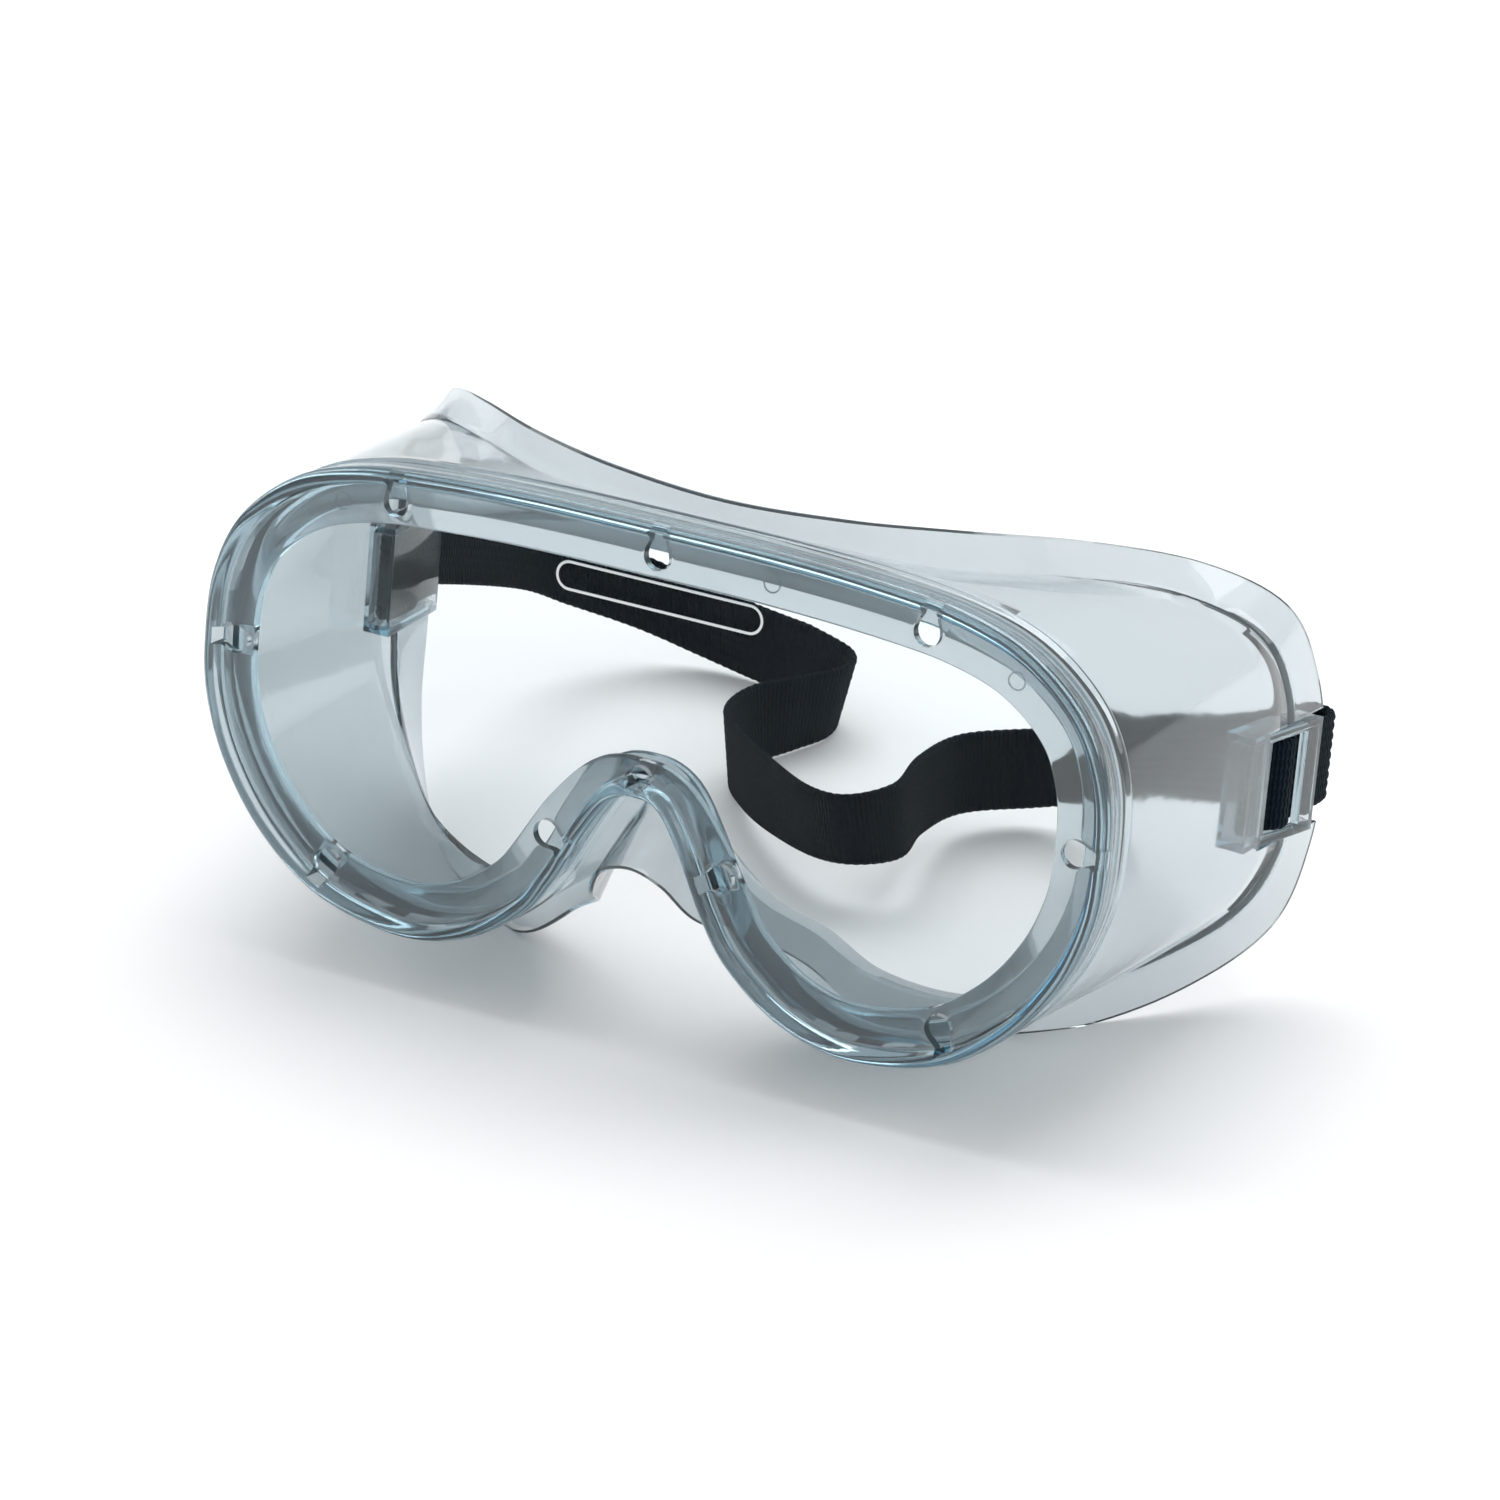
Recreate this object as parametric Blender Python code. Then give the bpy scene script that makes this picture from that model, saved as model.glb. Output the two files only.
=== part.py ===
"""Chemical-splash safety goggles, standing on the bottom edge of their face flange.

The goggles are drawn in a lens frame: u across to the wearer's left, v up the lens and w
back towards the face, with the origin on the front lip in the middle of the lens.  The
whole object then leans back by LEAN and stands on the floor.  All the values below are in
millimetres and degrees; the meshes are made in metres, +Z up, lens towards -Y.
"""

import math

import bmesh
import bpy
import numpy as np
from mathutils import Vector

MM = 0.001

# ---- driving dimensions -------------------------------------------------------------
LEAN = math.radians(9.8)        # lens leans back by this much when the goggles stand
RIM_WIDTH = 158.0               # rim outline, ear to ear
RIM_HEIGHT = 76.0               # rim outline, brow to cheek, along the lens
RIM_DEPTH = 8.0                 # front channel, front to back
SKIRT_DEPTH = 62.8              # skirt behind the rim, at the temples
STAND_TRIM = 0.5                # height by which the cheek edges are flattened to stand on
CLEARANCE = 0.3                 # gap between pieces that touch

RIM_WALL = 2.4                  # thickness of the channel's outer wall
BEAD_RISE = 0.8                 # how far the bead stands in front of the lip
LIP_WIDTH = 9.0                 # front lip over the lens, from the outer edge
LIP_WIDTH_NOSE = 6.2            # the same lip over the nose arch
LIP_THICKNESS = 1.6
REAR_LIP_WIDTH = 6.0
REAR_LIP_THICKNESS = 1.7

LENS_THICKNESS = 2.2

NOTCH_WIDTH = 3.6               # keyhole notches through the front lip
NOTCH_NECK = 2.6
NOTCH_END_WALL = 1.2            # lip left between a notch and the lens opening

SKIRT_WALL = 1.6
CREASE_WALL = 1.4
FLANGE_WALL = 1.2               # half way across the flange
FLANGE_EDGE = 0.9               # at its free edge
MITRE_LIMIT = 1.6               # greatest thickening at the crease, against the wall

STRAP_WIDTH = 14.6
STRAP_THICKNESS = 1.3
STRAP_SLACK = 0.45              # free space beside each strap edge in a loop

LOOP_LENGTH = 18.5              # strap loops, along w
LOOP_V = -13.4                  # middle of a loop, along v
LOOP_INSET = 4.8                # from the flange's rearmost edge to a loop's rear
LOOP_WALL = 1.4
LOOP_SLANT = 0.162              # a loop's plates spread by this much for each mm backwards
LOOP_OUTWARD = 0.5              # middle of a loop's channel at its rear, outside the rim's side
WINDOW_LENGTH = 9.5             # window in the outer plate, along w
POST_REAR = 3.8                 # plate left behind the window
FOLD_INSET = 2.0                # from a loop's front to the fold in the strap's end
STOP_LENGTH = 8.0               # strap folded back on itself, which keeps it in the loop
WINDOW_BULGE = 2.3              # how far the strap swells out of the window
STRAP_TURN = 3.2                # radius of the strap's turn behind the left loop

SAMPLES = 3                     # samples between two stations of an outline

# Sizes that the stations and the strap's route below are drawn for.
DRAWN_WIDTH = 158.0
DRAWN_HEIGHT = 76.0
DRAWN_RIM_DEPTH = 8.0
DRAWN_SKIRT_DEPTH = 62.8
DRAWN_HINGE_Y = 70.244          # line through both loops about which the strap swings
DRAWN_HINGE_HEIGHT = 35.24

# One row for each station from the brow's middle round to the nose's middle:
# rim outline (u, v), crease at the back of the side wall (u, v, w), flange edge (u, v, w).
STATIONS = [
    ((0.0, 23.0), (0.0, 14.8, 25.0), (0.0, 22.0, 20.5)),
    ((20.0, 22.9), (20.0, 15.8, 25.8), (20.0, 22.8, 22.0)),
    ((37.0, 22.2), (36.0, 16.3, 29.0), (37.0, 23.7, 27.0)),
    ((52.0, 20.6), (52.0, 17.6, 35.5), (53.0, 23.3, 37.5)),
    ((64.0, 16.6), (65.0, 16.4, 43.5), (66.5, 20.2, 50.5)),
    ((73.5, 8.7), (75.4, 10.5, 52.5), (76.0, 12.8, 62.4)),
    ((78.0, -1.0), (79.5, 1.0, 56.5), (79.8, 1.0, 68.2)),
    ((79.0, -12.0), (80.4, -12.0, 58.0), (81.0, -12.0, 70.6)),
    ((78.0, -22.0), (80.2, -24.0, 57.7), (80.8, -26.0, 70.3)),
    ((73.8, -32.5), (76.3, -33.6, 53.3), (78.0, -39.5, 65.5)),
    ((66.0, -42.5), (67.3, -41.4, 45.4), (69.0, -49.0, 54.0)),
    ((55.0, -50.0), (56.4, -48.0, 37.9), (57.0, -54.9, 41.0)),
    ((40.0, -53.0), (43.0, -51.2, 32.5), (43.0, -57.2, 30.0)),
    ((28.0, -50.5), (30.0, -49.5, 29.0), (31.0, -56.6, 24.6)),
    ((18.3, -44.0), (21.5, -44.0, 26.0), (20.5, -49.0, 21.5)),
    ((13.0, -37.2), (14.4, -39.3, 21.0), (13.4, -44.2, 15.0)),
    ((8.1, -28.0), (8.6, -30.7, 15.5), (9.2, -39.2, 5.0)),
    ((4.0, -22.0), (4.4, -25.0, 13.0), (5.4, -33.8, 0.6)),
    ((0.0, -20.8), (0.0, -23.6, 12.4), (0.0, -32.0, 0.0)),
]
CHEEK_STATION = 12              # station whose flange edge stands on the floor
NOSE_STATIONS = 3.0             # stations over which the lip narrows to the nose arch
NOTCH_STATIONS = [0.0, 2.62, 7.0, 10.9, 15.55, 18.0]

# Strap between the loops, from the wearer's right round the back to the wearer's left:
# lower edge (x, y, height above the floor), then how far the top edge leans in x and y.
STRAP_ROUTE = [
    (-78.6, 90.5, 18.8, 0.5, 1.0),
    (-74.8, 99.8, 13.0, 0.8, 0.8),
    (-66.0, 108.4, 7.0, 0.0, 0.0),
    (-55.8, 112.9, 2.2, 0.0, 0.0),
    (-44.4, 112.4, 0.4, 0.0, 0.0),
    (-34.8, 110.2, 0.4, 1.5, 0.0),
    (-26.4, 106.0, 0.4, 3.8, 0.0),
    (-24.0, 99.6, 0.4, 3.4, 0.0),
    (-26.4, 92.6, 0.4, 1.8, 0.0),
    (-29.4, 85.0, 0.4, -0.4, 0.0),
    (-28.9, 76.6, 0.4, -1.0, 0.0),
    (-22.8, 69.4, 0.8, -0.4, -0.4),
    (-12.6, 60.6, 2.8, 0.0, -1.0),
    (0.4, 52.0, 5.6, 0.0, -2.8),
    (9.0, 50.4, 7.2, 0.0, -3.6),
    (13.6, 56.4, 6.8, 0.0, -2.0),
    (11.2, 67.6, 5.4, 0.0, -0.4),
    (11.8, 80.4, 3.6, 0.0, 0.0),
    (21.4, 88.8, 3.4, 0.0, 0.0),
    (33.2, 88.0, 7.4, 0.0, 0.0),
    (44.5, 84.0, 12.6, 0.0, 0.4),
    (54.7, 78.4, 17.6, 0.0, 0.9),
    (61.5, 73.8, 21.4, 0.0, 1.4),
    (67.5, 71.2, 24.6, 0.0, 2.0),
]
ROUTE_SAMPLES = 4

SIDES = ((1, "left"), (-1, "right"))

# ---- colours ------------------------------------------------------------------------
CLEAR_PVC = (0.72, 0.84, 0.88, 0.45)
CLEAR_LENS = (0.86, 0.92, 0.93, 0.25)
BLACK_WEBBING = (0.012, 0.016, 0.024, 1.0)


def clear_scene():
    """Remove whatever the file holds before the goggles are built."""
    for item in list(bpy.data.objects):
        bpy.data.objects.remove(item, do_unlink=True)


def stand_height():
    """Height of the lens frame's origin above the floor."""
    v, w = scaled(STATIONS[CHEEK_STATION][2])[1:]
    return w * math.sin(LEAN) - v * math.cos(LEAN) - STAND_TRIM


def skirt_scale():
    """Depth of the skirt against the drawn one."""
    return SKIRT_DEPTH / DRAWN_SKIRT_DEPTH


def to_world(u, v, w):
    """Place a lens-frame point: lean it back and stand it on the floor."""
    y = w * math.cos(LEAN) + v * math.sin(LEAN)
    z = v * math.cos(LEAN) - w * math.sin(LEAN) + stand_height()
    return np.array((u, y, z))


def spline(points, samples, closed):
    """Catmull-Rom curve through points, with this many samples from one to the next."""
    knots = np.array(points, dtype=float)
    count = len(knots)
    curve = []
    for index in range(count if closed else count - 1):
        if closed:
            quad = [knots[(index + step) % count] for step in (-1, 0, 1, 2)]
        else:
            quad = [knots[min(max(index + step, 0), count - 1)] for step in (-1, 0, 1, 2)]
        before, start, end, after = quad
        for step in range(samples):
            t = step / samples
            curve.append(0.5 * (2 * start + (end - before) * t
                                + (2 * before - 5 * start + 4 * end - after) * t ** 2
                                + (3 * start - before - 3 * end + after) * t ** 3))
    if not closed:
        curve.append(knots[-1])
    return np.array(curve)


def mirrored_loop(half):
    """Close a half outline by its mirror image, starting at the brow's middle."""
    whole = [np.array(point, dtype=float) for point in half]
    for point in reversed(half[1:-1]):
        other = np.array(point, dtype=float)
        other[0] = -other[0]
        whole.append(other)
    return whole


def scaled(point):
    """Bring a drawn point (u, v) or (u, v, w) to the size of these goggles."""
    values = [point[0] * RIM_WIDTH / DRAWN_WIDTH, point[1] * RIM_HEIGHT / DRAWN_HEIGHT]
    if len(point) == 3:
        values.append(RIM_DEPTH + (point[2] - DRAWN_RIM_DEPTH) * skirt_scale())
    return tuple(values)


def outline_curves():
    """Closed curves of the rim outline, the crease and the flange edge."""
    curves = []
    for column in range(3):
        half = [scaled(row[column]) for row in STATIONS]
        curves.append(spline(mirrored_loop(half), SAMPLES, True))
    return curves


def inward_normals(outline):
    """Unit normals of the closed outline, pointing at the lens."""
    tangent = np.roll(outline, -1, axis=0) - np.roll(outline, 1, axis=0)
    tangent /= np.linalg.norm(tangent, axis=1)[:, None]
    return np.stack([tangent[:, 1], -tangent[:, 0]], axis=1)


def nose_share(index):
    """How far sample index has come into the nose arch: 0 outside it, 1 at its middle."""
    last = (len(STATIONS) - 1) * SAMPLES
    distance = abs(index - last) / SAMPLES
    share = max(0.0, 1.0 - distance / NOSE_STATIONS)
    return share * share * (3 - 2 * share)


def new_material(name, colour, roughness):
    """Principled material in one plain colour; alpha below 1 is see-through."""
    material = bpy.data.materials.new(name)
    material.use_nodes = True
    shader = material.node_tree.nodes["Principled BSDF"]
    shader.inputs["Base Color"].default_value = (*colour[:3], 1.0)
    shader.inputs["Roughness"].default_value = roughness
    shader.inputs["Metallic"].default_value = 0.0
    shader.inputs["Alpha"].default_value = colour[3]
    return material


def new_object(name, vertices, faces, material, origin=(0.0, 0.0, 0.0)):
    """Object from world points in millimetres, with its origin at origin."""
    origin = np.array(origin, dtype=float)
    mesh = bpy.data.meshes.new(name)
    mesh.from_pydata([tuple((np.array(v) - origin) * MM) for v in vertices], [], faces)
    mesh.validate()
    work = bmesh.new()
    work.from_mesh(mesh)
    bmesh.ops.recalc_face_normals(work, faces=work.faces)
    work.to_mesh(mesh)
    work.free()
    result = bpy.data.objects.new(name, mesh)
    result.location = Vector(origin * MM)
    bpy.context.scene.collection.objects.link(result)
    if material is not None:
        mesh.materials.append(material)
    return result


def tube_faces(rings, around, closed_rings):
    """Quads of a grid of rings, each closed on itself; the grid may close too."""
    faces = []
    for ring in range(rings if closed_rings else rings - 1):
        for step in range(around):
            a = ring * around + step
            b = ring * around + (step + 1) % around
            c = ((ring + 1) % rings) * around + (step + 1) % around
            d = ((ring + 1) % rings) * around + step
            faces.append((a, b, c, d))
    return faces


def add_cutter(target, cutter):
    """Take a hidden cutter out of a solid."""
    cutter.hide_render = True
    cutter.display_type = "WIRE"
    cut = target.modifiers.new("cut_" + cutter.name, "BOOLEAN")
    cut.operation = "DIFFERENCE"
    cut.solver = "EXACT"
    cut.object = cutter


def prism(name, plan, v_low, v_high, side, material):
    """Solid with a plan outline of (w, u) points, between two heights in the lens frame."""
    vertices = []
    for v in (v_low, v_high):
        vertices += [to_world(side * u, v, w) for w, u in plan]
    count = len(plan)
    faces = [tuple(range(count)), tuple(range(2 * count - 1, count - 1, -1))]
    for step in range(count):
        after = (step + 1) % count
        faces.append((step, after, count + after, count + step))
    return new_object(name, vertices, faces, material)


# ---- facepiece: front rim -----------------------------------------------------------
def rim_section(lip):
    """Profile of the lens channel: (offset inward, w) with this width of front lip."""
    groove_front = LIP_THICKNESS + CLEARANCE
    groove_rear = groove_front + LENS_THICKNESS + 2 * CLEARANCE
    return [
        (0.0, 1.1),
        (0.25, -0.1),
        (1.1, -BEAD_RISE),
        (2.1, -0.45 * BEAD_RISE),
        (2.7, CLEARANCE),
        (lip, CLEARANCE + 0.25),
        (lip, groove_front - 0.2),
        (RIM_WALL, groove_front),
        (RIM_WALL, groove_rear),
        (REAR_LIP_WIDTH, groove_rear),
        (REAR_LIP_WIDTH, groove_rear + REAR_LIP_THICKNESS),
        (RIM_WALL + 0.6, groove_rear + REAR_LIP_THICKNESS),
        (RIM_WALL + 0.6, RIM_DEPTH),
        (0.6, RIM_DEPTH),
        (0.0, RIM_DEPTH - 0.9),
    ]


def build_rim(outline, normals, material):
    """Channel ring that holds the lens, with its bead and its notched front lip."""
    vertices = []
    for index, (point, normal) in enumerate(zip(outline, normals)):
        share = nose_share(index)
        lip = LIP_WIDTH + (LIP_WIDTH_NOSE - LIP_WIDTH) * share
        for offset, w in rim_section(lip):
            u, v = point + normal * min(offset, lip)
            vertices.append(to_world(u, v, w))
    section = len(rim_section(LIP_WIDTH))
    faces = tube_faces(len(outline), section, True)
    rim = new_object("facepiece_rim", vertices, faces, material)
    add_cutter(rim, notch_cutters(outline, normals))
    return rim


def notch_plan(length):
    """Keyhole outline, neck at 0 and round end at length, as (along, across) points."""
    radius = NOTCH_WIDTH / 2
    plan = [(0.0, NOTCH_NECK / 2), (0.35 * length, NOTCH_NECK / 2), (length - radius, radius)]
    for step in range(1, 6):
        angle = math.pi / 2 - step * math.pi / 6
        plan.append((length - radius + radius * math.cos(angle), radius * math.sin(angle)))
    plan += [(length - radius, -radius), (0.35 * length, -NOTCH_NECK / 2), (0.0, -NOTCH_NECK / 2)]
    return plan


def notch_cutters(outline, normals):
    """One hidden object that holds every notch of the front lip."""
    half = len(outline)
    places = []
    for station in NOTCH_STATIONS:
        index = round(station * SAMPLES)
        places.append(index)
        if 0 < index < (len(STATIONS) - 1) * SAMPLES:
            places.append(half - index)
    vertices = []
    faces = []
    groove_middle = LIP_THICKNESS + CLEARANCE + LENS_THICKNESS / 2
    for index in places:
        share = nose_share(min(index, half - index))
        lip = LIP_WIDTH + (LIP_WIDTH_NOSE - LIP_WIDTH) * share
        start = outline[index] + normals[index] * (RIM_WALL - 0.5)
        length = lip - NOTCH_END_WALL - (RIM_WALL - 0.5)
        along = normals[index]
        across = np.array((-along[1], along[0]))
        plan = notch_plan(length)
        first = len(vertices)
        for w in (-3.0, groove_middle):
            for distance, side in plan:
                u, v = start + along * distance + across * side
                vertices.append(to_world(u, v, w))
        count = len(plan)
        faces.append(tuple(first + step for step in range(count)))
        faces.append(tuple(first + count + step for step in range(count - 1, -1, -1)))
        for step in range(count):
            after = (step + 1) % count
            faces.append((first + step, first + after, first + count + after,
                          first + count + step))
    return new_object("notch_cutter", vertices, faces, None)


# ---- facepiece: skirt with nose saddle and face flange ------------------------------
def skirt_rows(outline, normals, crease, edge):
    """Middle surface of the skirt in rows from the rim to the flange's free edge."""
    start_offset = 0.6 + SKIRT_WALL / 2
    start = [(*(p + n * start_offset), RIM_DEPTH + CLEARANCE) for p, n in zip(outline, normals)]
    start = np.array(start)
    middle = 0.5 * (start + crease)
    middle[:, :2] -= 0.5 * normals
    flange = 0.5 * (crease + edge)
    return [start, middle, crease, flange, edge]


def fold_normals(grid):
    """Outward normals of the skirt's rows, made longer at a fold to keep its thickness."""
    around = np.roll(grid, -1, axis=1) - np.roll(grid, 1, axis=1)
    segment = np.cross(grid[1:] - grid[:-1], around[1:] + around[:-1])
    segment /= np.linalg.norm(segment, axis=2)[:, :, None]
    before = np.concatenate([segment[:1], segment])
    after = np.concatenate([segment, segment[-1:]])
    middle = (before + after) / 2
    length = np.linalg.norm(middle, axis=2)[:, :, None]
    return middle / length * np.minimum(1 / length, MITRE_LIMIT)


def build_skirt(outline, normals, crease, edge, material):
    """Soft wall from the rim back to the face, with its outturned flange."""
    rows = skirt_rows(outline, normals, crease, edge)
    thickness = [SKIRT_WALL, SKIRT_WALL, CREASE_WALL, FLANGE_WALL, FLANGE_EDGE]
    grid = np.array(rows)
    normal = fold_normals(grid)
    normal[0, :, :2] = -normals
    normal[0, :, 2] = 0.0
    count = len(outline)
    rings = []
    for index in range(count):
        outer = [grid[j, index] + normal[j, index] * thickness[j] / 2 for j in range(len(rows))]
        inner = [grid[j, index] - normal[j, index] * thickness[j] / 2 for j in range(len(rows))]
        rings.append(outer + inner[::-1])
    vertices = []
    for ring in rings:
        for u, v, w in ring:
            place = to_world(u, v, w)
            place[2] = max(place[2], 0.0)
            vertices.append(place)
    faces = tube_faces(count, 2 * len(rows), True)
    skirt = new_object("facepiece_skirt", vertices, faces, material)
    reach = loop_half_height() + CLEARANCE
    front = loop_front() - CLEARANCE
    behind = loop_rear() + 2 * LOOP_LENGTH
    middle = RIM_WIDTH / 2
    plan = [(front, middle - LOOP_LENGTH), (front, middle + LOOP_LENGTH),
            (behind, middle + LOOP_LENGTH), (behind, middle - LOOP_LENGTH)]
    for side, label in SIDES:
        add_cutter(skirt, prism("loop_cut_" + label, plan, LOOP_V - reach, LOOP_V + reach,
                                side, None))
    return skirt


# ---- strap loops --------------------------------------------------------------------
def loop_rear():
    """Where the loops end at the back, along w."""
    return RIM_DEPTH + SKIRT_DEPTH - LOOP_INSET


def loop_front():
    """Where the loops begin, along w."""
    return loop_rear() - LOOP_LENGTH


def window_rear():
    """Rear edge of a loop's window, along w."""
    return loop_rear() - POST_REAR


def lane(w, offset):
    """Place along u of something at w in a loop, this far outside the channel's middle."""
    return RIM_WIDTH / 2 + LOOP_OUTWARD + LOOP_SLANT * (w - loop_rear()) + offset


def channel_half_depth():
    """Half the depth of a loop's channel, which holds two layers of strap."""
    return STRAP_THICKNESS + 1.5 * CLEARANCE


def strap_offset():
    """How far the strap's middle lies outside the channel's middle."""
    return (STRAP_THICKNESS + CLEARANCE) / 2


def channel_half_height():
    """Half the height of a loop's channel: half the strap and its slack."""
    return STRAP_WIDTH / 2 + STRAP_SLACK


def loop_half_height():
    """Half the outer height of a loop."""
    return channel_half_height() + LOOP_WALL


def loop_prism(name, front, rear, inside, outside, half_height, side, material):
    """Slanted block in a loop, from front to rear and between two offsets."""
    plan = [(front, lane(front, inside)), (front, lane(front, outside)),
            (rear, lane(rear, outside)), (rear, lane(rear, inside))]
    return prism(name, plan, LOOP_V - half_height, LOOP_V + half_height, side, material)


def build_loop(side, label, material):
    """Strap loop: a flat channel, open at the back, with a window in its outer plate."""
    depth = channel_half_depth()
    height = channel_half_height()
    loop = loop_prism("strap_loop_" + label, loop_front(), loop_rear(), -depth - LOOP_WALL,
                      depth + LOOP_WALL, loop_half_height(), side, material)
    add_cutter(loop, loop_prism("channel_cut_" + label, loop_front() + LOOP_WALL,
                                loop_rear() + LOOP_LENGTH, -depth, depth, height, side, None))
    add_cutter(loop, loop_prism("window_cut_" + label, window_rear() - WINDOW_LENGTH,
                                window_rear(), 0.5 * depth, depth + 2 * LOOP_WALL,
                                height - 0.5 * CLEARANCE, side, None))
    return loop


# ---- lens ---------------------------------------------------------------------------
def build_lens(outline, normals, material):
    """Flat clear lens, held all round in the rim's groove."""
    edge = outline + normals * (RIM_WALL + CLEARANCE)
    front = LIP_THICKNESS + 2 * CLEARANCE
    count = len(edge)
    vertices = []
    for w in (front, front + LENS_THICKNESS):
        vertices += [to_world(u, v, w) for u, v in edge]
    faces = [tuple(range(count)), tuple(range(2 * count - 1, count - 1, -1))]
    for step in range(count):
        after = (step + 1) % count
        faces.append((step, after, count + after, count + step))
    return new_object("lens", vertices, faces, material)


# ---- strap --------------------------------------------------------------------------
def ribbon(name, low, high, material, origin):
    """Flat band between two edge curves, STRAP_THICKNESS thick."""
    middle = 0.5 * (low + high)
    tangent = np.gradient(middle, axis=0)
    across = high - low
    normal = np.cross(tangent, across)
    normal /= np.linalg.norm(normal, axis=1)[:, None]
    half = 0.5 * STRAP_THICKNESS * normal
    vertices = []
    for a, b, n in zip(low, high, half):
        vertices += [a - n, a + n, b + n, b - n]
    faces = tube_faces(len(low), 4, False)
    last = 4 * (len(low) - 1)
    faces.append((3, 2, 1, 0))
    faces.append((last, last + 1, last + 2, last + 3))
    return new_object(name, vertices, faces, material, origin)


def hinge_w():
    """Line about which the strap swings: far enough back for its round ends to turn."""
    return loop_rear() + CLEARANCE + STRAP_WIDTH / 2


def hinge_point():
    """Middle of the line about which the strap swings."""
    return to_world(0.0, LOOP_V, hinge_w())


def strap_exit():
    """Place along u of the strap where it comes out of a loop."""
    return lane(loop_rear(), strap_offset())


def round_end(side):
    """Lower and upper edges of the strap's round end, from its tip to the hinge line."""
    radius = STRAP_WIDTH / 2
    rows = []
    for step in range(6):
        angle = (2 * step + 1) * math.pi / 24
        half = radius * math.sin(angle)
        w = hinge_w() - radius * math.cos(angle)
        rows.append((to_world(side * strap_exit(), LOOP_V - half, w),
                     to_world(side * strap_exit(), LOOP_V + half, w)))
    return rows


def exit_knot(u, w):
    """Route knot behind a loop, where the strap still stands square to the loop."""
    x, y, height = to_world(u, LOOP_V - STRAP_WIDTH / 2, w)
    return (x, y, height, 0.0, STRAP_WIDTH * math.sin(LEAN))


def route_knots():
    """Knots of the strap's lower edge from the right loop to the left one."""
    knots = [exit_knot(-strap_exit(), hinge_w() + beyond) for beyond in (0.5, 6.5)]
    back, rise = hinge_point()[1:] - np.array((DRAWN_HINGE_Y, DRAWN_HINGE_HEIGHT))
    for x, y, height, lean_x, lean_y in STRAP_ROUTE:
        share = height / DRAWN_HINGE_HEIGHT
        knots.append((x * RIM_WIDTH / DRAWN_WIDTH, y + back, height + share * rise,
                      lean_x, lean_y))
    for step in range(4, -1, -1):
        angle = step * math.pi / 4
        knots.append(exit_knot(strap_exit() - STRAP_TURN * (1 - math.cos(angle)),
                               hinge_w() + 0.5 + STRAP_TURN * math.sin(angle)))
    return knots


def build_strap_main(material):
    """Elastic strap from one loop to the other, which swings about both of them."""
    curve = spline(route_knots(), ROUTE_SAMPLES, False)
    rise = np.sqrt(STRAP_WIDTH ** 2 - curve[:, 3] ** 2 - curve[:, 4] ** 2)
    low = curve[:, :3]
    high = low + np.stack([curve[:, 3], curve[:, 4], rise], axis=1)
    start = np.array(round_end(-1))
    end = np.array(round_end(1)[::-1])
    low = np.concatenate([start[:, 0], low, end[:, 0]])
    high = np.concatenate([start[:, 1], high, end[:, 1]])
    return ribbon("strap_main", low, high, material, hinge_point())


def end_plan():
    """Centre line (w, offset) of a strap end, from the loop's rear to its stop fold."""
    layer = strap_offset()
    inset = 3 * CLEARANCE
    plan = [(loop_rear(), layer)]
    for step in range(9):
        share = step / 8
        swell = WINDOW_BULGE * math.sin(math.pi * share)
        plan.append((window_rear() - inset - share * (WINDOW_LENGTH - 2 * inset), layer + swell))
    fold = loop_front() + LOOP_WALL + FOLD_INSET
    for step in range(4):
        angle = step * math.pi / 3
        plan.append((fold - layer * math.sin(angle), layer * math.cos(angle)))
    plan.append((fold + STOP_LENGTH, -layer))
    return plan


def build_strap_end(side, label, material):
    """Strap end in its loop, folded back on itself so that it can't slip out."""
    low = []
    high = []
    for w, offset in end_plan():
        low.append(to_world(side * lane(w, offset), LOOP_V - STRAP_WIDTH / 2, w))
        high.append(to_world(side * lane(w, offset), LOOP_V + STRAP_WIDTH / 2, w))
    return ribbon("strap_end_" + label, np.array(low), np.array(high), material, (0, 0, 0))


def centre_on_floor(pieces):
    """Move everything so that the origin is under the middle of the bounding box."""
    bpy.context.view_layer.update()
    graph = bpy.context.evaluated_depsgraph_get()
    corners = []
    for piece in pieces:
        shape = piece.evaluated_get(graph)
        mesh = shape.to_mesh()
        corners += [shape.matrix_world @ vertex.co for vertex in mesh.vertices]
        shape.to_mesh_clear()
    low = Vector([min(corner[axis] for corner in corners) for axis in range(3)])
    high = Vector([max(corner[axis] for corner in corners) for axis in range(3)])
    shift = Vector((-(low.x + high.x) / 2, -(low.y + high.y) / 2, -low.z))
    for item in bpy.context.scene.objects:
        item.location += shift


def main():
    clear_scene()
    pvc = new_material("clear_pvc", CLEAR_PVC, 0.18)
    glass = new_material("clear_lens", CLEAR_LENS, 0.03)
    webbing = new_material("black_webbing", BLACK_WEBBING, 0.85)

    outline, crease, edge = outline_curves()
    normals = inward_normals(outline)
    pieces = [
        build_rim(outline, normals, pvc),
        build_skirt(outline, normals, crease, edge, pvc),
        build_lens(outline, normals, glass),
        build_strap_main(webbing),
    ]
    for side, label in SIDES:
        pieces.append(build_loop(side, label, pvc))
        pieces.append(build_strap_end(side, label, webbing))
    centre_on_floor(pieces)


main()
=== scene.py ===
import math

import bmesh
import bpy
import numpy as np
from mathutils import Matrix, Vector


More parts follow.
